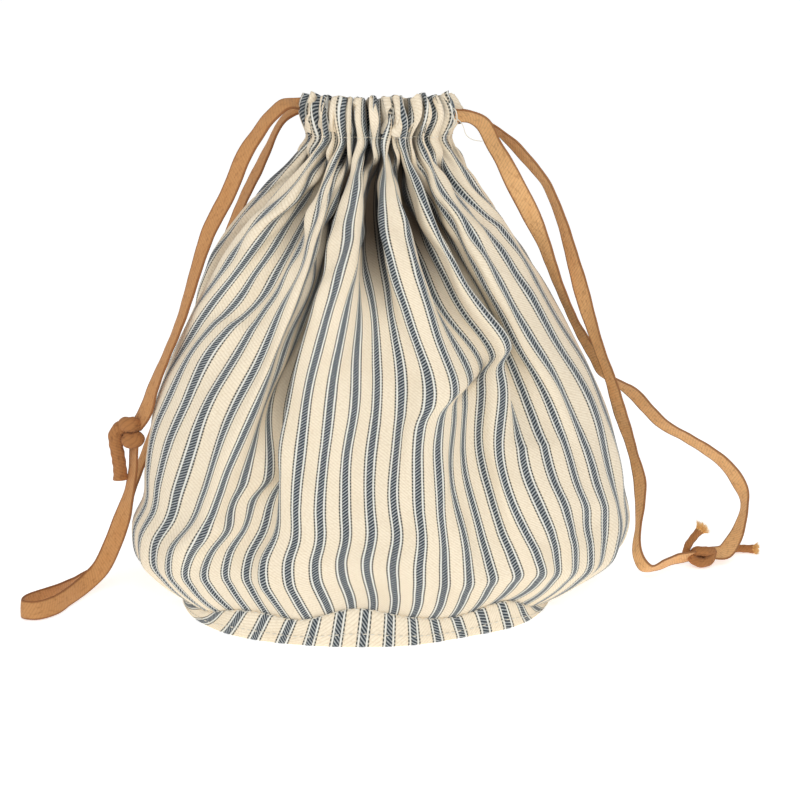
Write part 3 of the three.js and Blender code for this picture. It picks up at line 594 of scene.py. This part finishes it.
# height, half width, depth in front, depth behind, sideways shift
wallSections = np.array([
    (15, 101.5, 96, 94, -6.5), (20, 112, 96.5, 94.5, -5), (27, 124, 97, 95.3, -3),
    (35, 134, 97.8, 96, -1.2), (44, 136, 98, 96, -0.3), (56, 131.3, 97, 95.5, 1.3),
    (72, 129.3, 95, 94, 0.2), (97, 124.5, 90, 90, -1), (123, 115, 84, 84, -2),
    (147, 103, 77, 77, -3.5), (172, 91, 70, 70, -5), (192, 80.3, 63, 62, -6.3),
    (208, 69.5, 55, 54, -6.5), (223, 56.5, 46, 45, -4.9), (232, 49.2, 38.5, 37.5, -3.5),
    (241, 43, 32, 31, -2.5), (249, 38.4, 27.5, 26.5, -1.7), (254, 40.2, 29.5, 28, -1.3),
    (261, 42, 31, 29, -1), (267, 41, 29.5, 28, -1.3), (270.5, 39.2, 27.5, 26.5, -1.5)], dtype=float)
crestHeights = np.array([30.0, 95.0, 140.0, 190.0, 250.0])
# crest's repeat; turn from the front at the foot, belly, waist, shoulder and neck; height it dies; hollow
frontCrests = np.array([
    (-4.2, -93, -96, -85, -61, -45, 172, 0.68), (0.8, -53, -41, -34.5, -23.5, -28, 60, 0.75),
    (6.4, -21.6, -20.6, -18.8, -13, -13, 163, 0.77), (12.2, 8, 9, 12.5, 8.5, 4, 140, 0.70),
    (17.0, 37, 27, 33.5, 31, 17, 105, 0.30), (21.2, 63, 58, 53, 48, 35, 200, 0.50),
    (24.0, 86, 93, 92, 86, 62, 170, 0.50)])
# crest's repeat; height it dies; hollow
backCrests = np.array([
    (27.8, 120, 0.5), (31.6, 170, 0.45), (35.6, 110, 0.55), (39.2, 165, 0.5),
    (43.0, 125, 0.5), (46.6, 175, 0.55), (49.8, 130, 0.45)])
# puckers of the seam: repeat, rise, spread in repeats
seamPuckers = np.array([
    (1.5, -3.5, 1.5), (6.6, -2.5, 1.2), (9.3, 5.0, 1.7), (14.0, -3.5, 1.8), (16.6, 2.0, 1.2),
    (18.6, -2.5, 1.2), (21.8, -12.5, 3.4), (33.5, -2.5, 1.5), (39.0, 2.5, 1.5), (45.5, -2.0, 1.8),
    (49.5, 1.5, 1.4), (55.4, -12.5, 3.4)])
# bulges of the foot: turn from the front in degrees, gain in radius, spread in degrees
footBulges = np.array([(-50, 0.05, 28), (32, -0.04, 15), (74, -0.02, 18)], dtype=float)
# kinks of the cloth: repeat, spread, height there, climb per repeat, reach above and below, sideways
# push, swell
wallKinks = np.array([
    (14.9, 2.3, 136, 5.0, 22, 6, 11, 3.5), (17.6, 1.2, 150, 4.0, 16, 8, 5, 2.0),
    (4.3, 1.4, 84, 3.0, 22, 9, 9, 3.0), (2.4, 1.6, 52, 8.0, 8, 12, 3, 2.5),
    (20.6, 1.8, 58, -5.0, 10, 10, 3, 1.5), (-0.8, 1.4, 175, 3.0, 12, 10, 3, 2.0),
    (10.0, 4.5, 15, 0.0, 16, 20, 7, 0.0), (18.0, 4.5, 15, 0.0, 16, 20, 14, 0.0)])


# signed distance around the closed cloth, in repeats
def aroundFrom(u, at, s):
    return (u - at + 1.5 * s["repeats"]) % s["repeats"] - 0.5 * s["repeats"]


# above its line a kink pushes the cloth sideways more and more; just below the line it springs back
def kinks(u, z, s):
    push = np.zeros((len(z), len(u)))
    swell = np.zeros((len(z), len(u)))
    for at, spread, level, climb, above, below, sideways, out in wallKinks:
        away = aroundFrom(u, at, s)
        over = z[:, None] - (level + climb * away)[None, :]
        fade = np.where(over > 0, np.exp(-(over / above) ** 2), np.exp(-(over / below) ** 2))
        near = np.exp(-(away / spread) ** 2)[None, :]
        push += sideways * near * fade
        raised = np.exp(-((over - s["swellAbove"]) / above) ** 2)
        swell += out * near * (raised - np.exp(-((over + below) / below) ** 2))
    return push, swell


# the seam's height above its level: a sum of bell curves around the cloth
def seamRise(u, s):
    away = aroundFrom(u[:, None], seamPuckers[None, :, 0], s)
    return (seamPuckers[None, :, 1] * np.exp(-(away / seamPuckers[None, :, 2]) ** 2)).sum(1)


# sum of slanting waves, a whole number of them around the cloth: a smooth uneven field
def crumple(kind, u, z, s):
    cycles, slants, count, seed, size, grows, dies = crumples[kind]
    chance = np.random.default_rng(seed)
    around = (chance.integers(cycles[0], cycles[1], count) / s["repeats"])[:, None, None]
    upward = chance.uniform(slants[0], slants[1], count) * chance.choice([-1, 1], count)
    start = chance.uniform(0, 2 * np.pi, count)[:, None, None]
    waves = np.cos(2 * np.pi * (around * u + upward[:, None, None] * z[:, None]) + start)
    fade = size * ease(*grows, z) * (1 - ease(*dies, z))
    return waves.sum(0) / np.sqrt(count / 2) * fade[:, None]


# superellipse, turn measured from the front to the right
def ovalPoints(turn, half, front, back, squareness):
    sine, cosine = np.sin(turn), np.cos(turn)
    power = 2 / squareness
    x = half * np.sign(sine) * np.abs(sine) ** power
    y = -np.where(cosine >= 0, front, back) * np.sign(cosine) * np.abs(cosine) ** power
    return x, y


# crests in front as listed; behind, their turns are shared out evenly over the cloth
def crestTable(s):
    first, last = frontCrests[0], frontCrests[-1]
    share = (backCrests[:, 0] - last[0]) / (first[0] + s["repeats"] - last[0])
    behind = last[1:6] + share[:, None] * (first[1:6] + 360 - last[1:6])
    turns = np.vstack([frontCrests[:, 1:6], behind])
    rest = np.vstack([frontCrests[:, [0, 6, 7]], backCrests])
    return rest[:, 0], turns, rest[:, 1], rest[:, 2]


# in the casing each span is pressed into two gathers: flat on top, steep at the sides, narrow below
def pressedLean(part, split, cloth, chord, s):
    share = np.where(part < split, split, 1 - split)
    local = np.where(part < split, part / split, (part - split) / (1 - split))
    fromCrest = np.minimum(local, 1 - local) * share * cloth
    pitch = chord[:, None] * share / 2
    flat = s["pressedFlat"] * pitch
    shoulder = ease(flat, flat + s["pressedShoulder"] * pitch, fromCrest)
    bottom = ease(0, s["pressedBottom"], share * cloth / 2 - fromCrest)
    return -np.sign(0.5 - local) * s["pressedSteep"] * shoulder * bottom


# running sum along each row, from 0
def runningSum(values):
    steps = np.cumsum((values[:, 1:] + values[:, :-1]) / 2, 1)
    return np.concatenate([np.zeros((len(values), 1)), steps], 1)


# between two crests the cloth is longer than its chord on the oval, so it leans in and out again:
# the lean is a sine wave along the cloth, as strong as the spare length asks for
def foldSpan(at, nextAt, dies, hollow, chord, z, s):
    part = np.linspace(0, 1, s["spanSteps"])
    cloth = (nextAt - at) * s["repeatWidth"]
    phase = np.where(part < hollow, part / (2 * hollow), 0.5 + (part - hollow) / (2 * (1 - hollow)))
    single = np.sin(2 * np.pi * phase)
    flat = s["flatCrest"] * (0.5 + 0.5 * np.cos(2 * np.pi * phase))
    wave = np.sign(single) * np.maximum(np.abs(single) - flat, 0) / (1 - flat)
    alive = ease(dies - s["showBelow"], dies + s["showAbove"], z)
    show = s["showLow"] * ease(*s["showFoot"], z) + (1 - s["showLow"]) * alive
    drawn = np.clip(1 - (1 - chord / cloth) * show, s["leastDrawn"], 1)
    gains = np.linspace(0, s["mostGain"], s["gainSteps"])
    means = np.cos(np.clip(gains[:, None] * wave, -s["steepest"], s["steepest"])).mean(1)
    gain = np.interp(-drawn, -means, gains)
    lean = -np.clip(gain[:, None] * wave, -s["steepest"], s["steepest"])
    # the crest between the two gathers lies midway between two stripes
    split = (np.floor((at + nextAt) / 2) + 0.5 - at) / (nextAt - at)
    casing = ease(s["casingLow"], s["casingHigh"], z)[:, None]
    lean = lean + casing * (pressedLean(part, split, cloth, chord, s) - lean)
    ahead = runningSum(np.cos(lean))
    sunk = runningSum(np.sin(lean)) * cloth / (len(part) - 1)
    return ahead / ahead[:, -1:] * chord[:, None], sunk - sunk[:, -1:] * part


# at each height the folded cloth is laid along an oval: how far along it, and how deep inside it
def wallGrid(u, level, s):
    z, half, front, back, shift = level.T
    at, turns, dies, hollow = crestTable(s)
    rows = len(z)
    inRange = np.clip(z, crestHeights[0], crestHeights[-1])
    turnRows = np.radians(throughTable(crestHeights, turns.T, inRange))
    # the gathers lean to and fro between the stitch line and the top edge
    lean = np.radians(s["leanMost"]) * np.sin(np.arange(len(at)) * s["leanRate"] + s["leanStart"])
    turnRows = turnRows + lean * ease(*s["leanHeights"], z)[:, None]
    turnRows = np.concatenate([turnRows, turnRows[:, :1] + 2 * np.pi], 1)
    firstTurn, lastTurn = s["ovalHalfTurns"]
    fine = np.linspace(firstTurn * np.pi, lastTurn * np.pi, s["ovalSteps"])
    ovals = ovalPoints(fine[None, :], half[:, None], front[:, None], back[:, None], s["squareness"])
    run = np.cumsum(np.hypot(np.diff(ovals[0], axis=1), np.diff(ovals[1], axis=1)), axis=1)
    run = np.concatenate([np.zeros((rows, 1)), run], 1)
    starts = np.array([np.interp(turnRows[j], fine, run[j]) for j in range(rows)])
    along = np.zeros((rows, len(u)))
    deep = np.zeros((rows, len(u)))
    wrapped = (u - at[0]) % s["repeats"] + at[0]
    nextAt = np.append(at[1:], at[0] + s["repeats"])
    for k in range(len(at)):
        chord = starts[:, k + 1] - starts[:, k]
        ahead, sunk = foldSpan(at[k], nextAt[k], dies[k], hollow[k], chord, z, s)
        here = (wrapped >= at[k]) & (wrapped < nextAt[k])
        q = (wrapped[here] - at[k]) / (nextAt[k] - at[k]) * (s["spanSteps"] - 1)
        i = np.clip(q.astype(int), 0, s["spanSteps"] - 2)
        f = q - i
        along[:, here] = starts[:, k:k + 1] + ahead[:, i] * (1 - f) + ahead[:, i + 1] * f
        deep[:, here] = sunk[:, i] * (1 - f) + sunk[:, i + 1] * f
    push, swell = kinks(u, z, s)
    # the cloth wavers sideways, more on the left than elsewhere
    onLeft = np.exp(-(aroundFrom(u, s["waverAt"], s) / s["waverWide"]) ** 2)
    waver = crumple("waver", u, z, s) * (s["waver"] + s["waverMore"] * onLeft)
    along = along + push + crumple("warp", u, z, s) + waver
    most = s["deepest"] * front[:, None]
    deep = -most * np.tanh(-deep / most) + swell
    bulgeFade = 1 - ease(*s["bulgeFade"], z)
    puckers = seamRise(u, s)[None, :] * (1 - ease(*s["puckerFade"], z))[:, None]
    grid = np.zeros((rows, len(u), 3))
    for j in range(rows):
        x, y = [np.interp(along[j], run[j], oval[j]) for oval in ovals]
        # direction of the oval here, from the points 1 mm before and after
        after = [np.interp(along[j] + 1, run[j], oval[j]) for oval in ovals]
        before = [np.interp(along[j] - 1, run[j], oval[j]) for oval in ovals]
        dx, dy = after[0] - before[0], after[1] - before[1]
        size = np.hypot(dx, dy)
        x = x + dy / size * deep[j]
        y = y - dx / size * deep[j]
        away = np.degrees(np.arctan2(x, -y))[:, None] - footBulges[None, :, 0]
        bulge = (footBulges[:, 1] * np.exp(-(away / footBulges[:, 2]) ** 2)).sum(1) * bulgeFade[j]
        grid[j] = np.stack([x * (1 + bulge) + shift[j], y * (1 + bulge), z[j] + puckers[j]], 1)
    return grid, deep


# outward directions: across the two ways of the grid
def gridNormals(grid):
    sideways = np.roll(grid, -1, 1) - np.roll(grid, 1, 1)
    return unit(np.cross(sideways, np.gradient(grid, axis=0)))


# the wall from the seam to the top edge, its hem inside, its stripe map and how much painted shade its
# hollows get
def makeWall(s):
    u = np.arange(s["repeats"] * s["columnsPerRepeat"]) / s["columnsPerRepeat"] + s["firstRepeat"]
    profile = addedUp(np.hypot(np.diff(wallSections[:, 0]), np.diff(wallSections[:, 1])))
    level = throughTable(profile, wallSections, np.linspace(0, profile[-1], s["rows"]))
    z = level[:, 0]
    grid, deep = wallGrid(u, level, s)
    # tops of the gathers stand a little higher than the hollows between them, and the back edge lower
    uneven = crumple("uneven", u, np.zeros(1), s)
    behind = ease(*s["behindRun"], grid[:, :, 1])
    raised = s["topHollow"] * np.minimum(deep, 0) + uneven - s["topDrop"] - s["topBehind"] * behind
    grid[:, :, 2] += ease(*s["topHeights"], z)[:, None] * raised
    fields = sum(crumple(kind, u, z, s) for kind in ("wrinkle", "puff", "ripple", "dents"))
    grid = grid + gridNormals(grid) * fields[:, :, None]
    normal = gridNormals(grid)
    # hem: over the top edge and down inside to the stitch line
    roll = np.radians(s["hemTurns"])[:, None, None]
    half = s["hemThick"] / 2
    upward = np.array([0, 0, 1.0])
    edge = grid[-1:] - normal[-1:] * half * (1 - np.cos(roll)) + upward * half * np.sin(roll)
    inside = (grid - normal * s["hemThick"])[::-1][:s["hemRows"]]
    grid = np.concatenate([grid, edge, inside], 0)
    # painted shade: deep hollows are darkened, less so below the shoulder, in the casing and beside the
    # first ridge
    shadeShown = s["paintedShadeLeast"] + (1 - s["paintedShadeLeast"]) * ease(*s["paintedShadeRise"], z)
    shadeShown = shadeShown - s["paintedShadeCasing"] * ease(*s["paintedShadeCasingRise"], z)
    lessShade = 1 - s["lessShadeShare"] * np.exp(-((u - s["lessShadeAt"]) / s["lessShadeWide"]) ** 2)
    sunk = ease(*s["paintedShadeFrom"], -deep / level[:, 2:3]) * shadeShown[:, None] * lessShade
    sunk = np.concatenate([sunk, np.repeat(sunk[-1:], len(roll), 0), sunk[::-1][:s["hemRows"]]], 0)
    climb = np.linalg.norm(np.diff(grid, axis=0), axis=2).mean(1)
    uvGrid = mapGrid(np.append(u, u[0] + s["repeats"]), addedUp(climb) / s["repeatWidth"])
    piece = addGrids("wall_cloth", [grid], ticking, [uvGrid], sunk)
    return piece, grid, z


wall, wallPoints, wallHeights = makeWall(wallSet)
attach(wall, "root")
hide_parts("wall_panel")
print("wall made", len(wall.data.polygons), "faces")


# how far the rim stands out, how square it is, the seam's height and how far the rim laps over it
baseSet = dict(
    stand=2.6, squareness=0.55, seamHeight=15.0, overlap=0.4, rollRows=22, flatRows=12, turn=-10.0,
    repeatWidth=13.2, columnStep=2)


# the rim is a nearly flat band from the seam to the floor, then the round lies flat
def makeBase(s):
    seam = wallPoints[0, ::s["columnStep"]]
    along = np.roll(seam, -1, 0) - np.roll(seam, 1, 0)
    out = unit(np.stack([along[:, 1], -along[:, 0], np.zeros(len(seam))], 1))
    turn = np.linspace(0, np.pi, s["rollRows"])
    tall = (seam[:, 2] + s["overlap"]) / 2
    reach = s["stand"] * np.minimum(1, seam[:, 2] / s["seamHeight"])
    swell = np.abs(np.sin(turn)) ** s["squareness"]
    drop = np.sign(np.cos(turn)) * np.abs(np.cos(turn)) ** s["squareness"]
    rim = seam[None] * np.array([1, 1, 0]) + out[None] * (swell[:, None] * reach[None, :])[:, :, None]
    rim[:, :, 2] = tall[None, :] * (1 + drop)[:, None]
    climb = np.linalg.norm(np.diff(rim, axis=0), axis=2).mean(1)
    length = addedUp(climb)[:, None]
    flatMap = seam[None, :, :2] + out[None, :, :2] * (length[-1] - length)[:, :, None]
    shrink = np.linspace(1, 0, s["flatRows"] + 1)[1:, None, None]
    middle = seam.mean(0) * np.array([1, 1, 0])
    flat = middle + (rim[-1:] - middle) * shrink
    flatUv = middle[:2] + (flatMap[-1:] - middle[:2]) * shrink
    grid = np.concatenate([rim, flat], 0)[::-1]
    uvGrid = np.concatenate([flatMap, flatUv], 0)[::-1]
    a = np.radians(s["turn"])
    turned = np.stack([uvGrid[..., 0] * np.cos(a) - uvGrid[..., 1] * np.sin(a),
                       uvGrid[..., 0] * np.sin(a) + uvGrid[..., 1] * np.cos(a)], -1) / s["repeatWidth"]
    turned = np.concatenate([turned, turned[:, :1]], 1)
    piece = addGrids("base_cloth", [grid], ticking, [turned])
    upward = np.array([0, 0, 1.0])
    outward = out[None] * np.sin(turn)[:, None, None] + upward * np.cos(turn)[:, None, None]
    return piece, rim, outward


base, rimPoints, rimNormals = makeBase(baseSet)
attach(base, "root")
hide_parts("base_panel")
print("base made")


# stitches: length, pitch, thickness and how far the middle stands out of the cloth
stitchSet = dict(
    long=2.5, pitch=3.6, thick=0.62, stand=0.3, rings=6, ringPoints=5, rimRows=(2, 11), casing=249.0)


# stitches one after another along a closed line, each a small closed roll that dips in at its ends
def stitchGrids(line, normal, s):
    closed = np.concatenate([line, line[:1]])
    outward = np.concatenate([normal, normal[:1]])
    run = addedUp(np.linalg.norm(np.diff(closed, axis=0), axis=1))
    count = int(run[-1] / s["pitch"])
    t = np.linspace(0, 1, s["rings"])
    at = (np.arange(count)[:, None] * run[-1] / count + t[None, :] * s["long"]) % run[-1]
    path = np.stack([np.interp(at, run, closed[:, k]) for k in range(3)], -1)
    out = unit(np.stack([np.interp(at, run, outward[:, k]) for k in range(3)], -1))
    hump = np.sin(np.pi * t)
    path = path + out * (s["stand"] * hump)[None, :, None]
    side = unit(np.cross(np.gradient(path, axis=1), out))
    ring = np.linspace(0, 2 * np.pi, s["ringPoints"], endpoint=False)[:, None]
    radius = (s["thick"] / 2 * np.sqrt(hump))[None, :, None, None]
    grids = path[:, :, None] + (side[:, :, None] * np.cos(ring) - out[:, :, None] * np.sin(ring)) * radius
    uvGrid = mapGrid(np.linspace(0, 1, s["ringPoints"] + 1), t)
    return list(grids), [uvGrid] * count


# a row on the base near the seam, one on its rim and one along the bottom of the casing
def makeStitches(s):
    casingRow = int(np.argmin(np.abs(wallHeights - s["casing"])))
    rows = [(rimPoints[k], rimNormals[k]) for k in s["rimRows"]]
    rows.append((wallPoints[casingRow], gridNormals(wallPoints)[casingRow]))
    for name, (line, normal) in zip(("seam_stitches", "rim_stitches", "casing_stitches"), rows):
        grids, uvGrids = stitchGrids(line, normal, s)
        piece = addGrids(name, grids, sewingThread, uvGrids)
        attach(piece, "root")


makeStitches(stitchSet)
print("stitches sewn")

# sewing thread at the right slit: the loose end, and the two turns that bind the slit
looseSet = dict(tailSet, half=0.26, thin=0.26, flare=0.0, ringPoints=8, step=0.5)
looseRoute = [
    (29, -7, 263.5, 0), (33.5, -11, 262.5, 0), (38, -15, 259.6, 0), (41.6, -19, 256.1, 0),
    (43.7, -20, 250.8, 0), (47, -17, 248.2, 0), (52.2, -12, 246.8, 0)]
bindSet = dict(looseSet, half=0.36, thin=0.36)
bindRoutes = [
    [(35, -12.5, 265, 0), (38.2, -16.5, 263, 0), (38.8, -17, 258, 0), (36, -13.5, 254, 0)],
    [(33.5, -13.5, 263, 0), (36.6, -17.6, 261, 0), (37.4, -18, 256.5, 0), (34.6, -15, 252.5, 0)]]


# round threads carried along their routes
def makeThreads():
    grid, uvGrid, line = tailGrid(looseRoute, looseSet)
    loose = addGrids("loose_thread", [grid], sewingThread, [uvGrid])
    made = [tailGrid(route, bindSet)[:2] for route in bindRoutes]
    bind = addGrids("slit_binding", [g[0] for g in made], sewingThread, [g[1] for g in made])
    for piece in (loose, bind):
        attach(piece, "root")


makeThreads()
print("threads laid")

# floor and lamps in metres; the floor lies a hair below the base, so that the two surfaces don't mix
stageSet = dict(
    size=120.0, drop=0.0001, floorTint=(0.95, 0.95, 0.95, 1), floorRough=0.9, floorGlow=0.55, world=0.5,
    lampAim=(0, 0, 0.13), lamps=dict(
        key=dict(place=(0.35, -1.35, 1.45), size=1.2, power=11.5),
        fill=dict(place=(-1.2, -0.9, 0.8), size=1.0, power=2.5)))


# white floor, even light from all around and two lamps aimed at the pouch
def makeStage(s):
    half = s["size"] / 2
    mesh = bpy.data.meshes.new("floor")
    corners = [(x * half, y * half, -s["drop"]) for x, y in ((-1, -1), (1, -1), (1, 1), (-1, 1))]
    mesh.from_pydata(corners, [], [(0, 1, 2, 3)])
    material = bpy.data.materials.new("floor")
    material.use_nodes = True
    shader = material.node_tree.nodes["Principled BSDF"]
    shader.inputs["Base Color"].default_value = s["floorTint"]
    shader.inputs["Roughness"].default_value = s["floorRough"]
    shader.inputs["Emission Color"].default_value = (1, 1, 1, 1)
    shader.inputs["Emission Strength"].default_value = s["floorGlow"]
    mesh.materials.append(material)
    floor = bpy.data.objects.new("floor", mesh)
    bpy.context.collection.objects.link(floor)
    world = bpy.data.worlds.new("studio")
    world.use_nodes = True
    back = world.node_tree.nodes["Background"]
    back.inputs["Color"].default_value = (1, 1, 1, 1)
    back.inputs["Strength"].default_value = s["world"]
    bpy.context.scene.world = world
    for name, light in s["lamps"].items():
        data = bpy.data.lights.new(name, "AREA")
        data.size = light["size"]
        data.energy = light["power"]
        lamp = bpy.data.objects.new(name, data)
        lamp.location = light["place"]
        aim = Vector(s["lampAim"]) - Vector(light["place"])
        lamp.rotation_euler = aim.to_track_quat("-Z", "Y").to_euler()
        bpy.context.collection.objects.link(lamp)
    bpy.context.scene.view_settings.view_transform = "Standard"


makeStage(stageSet)
print("stage set")
